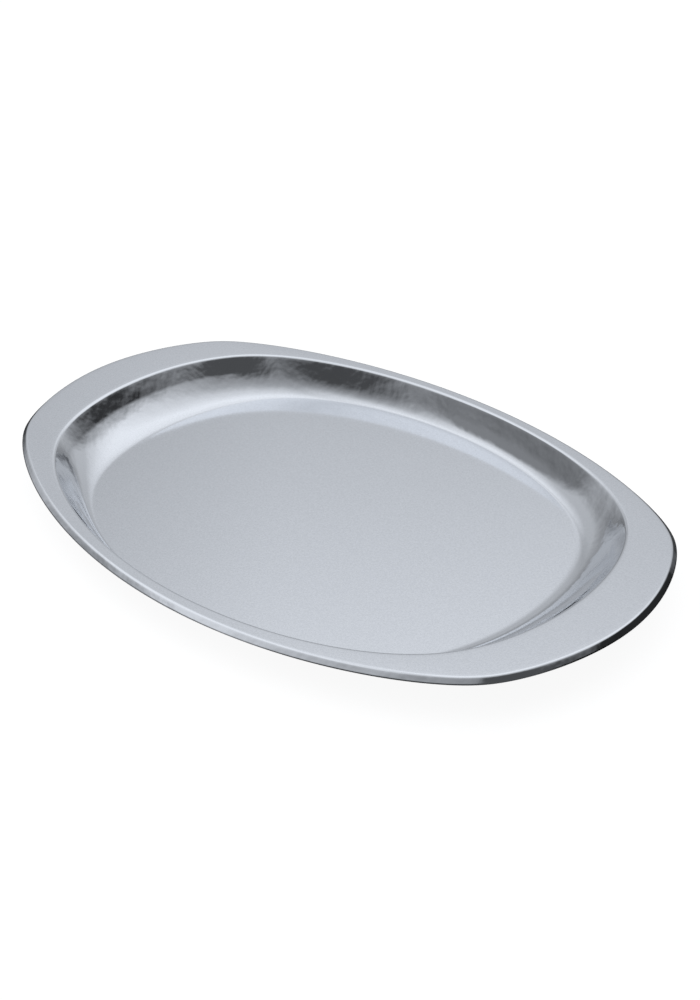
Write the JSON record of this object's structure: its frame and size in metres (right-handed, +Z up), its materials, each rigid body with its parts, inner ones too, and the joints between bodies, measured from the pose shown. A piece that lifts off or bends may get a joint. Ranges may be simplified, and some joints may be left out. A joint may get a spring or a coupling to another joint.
{
  "type": "serving tray",
  "caption": "Oval pressed-steel serving tray with wide end grips, a flared edge, a deep rounded well and a flat floor.",
  "frame": {"origin": "middle of the underside of the tray's flat floor", "axes": "+X along the tray's length towards one grip, +Y across it, +Z up out of the well"},
  "size_m": [0.45, 0.305, 0.0275],
  "materials": {
    "steel": "satin floor and rim, polished wall and edge"
  },
  "bodies": {
    "root": {"tray_sheet": "steel"}
  },
  "joints": []
}
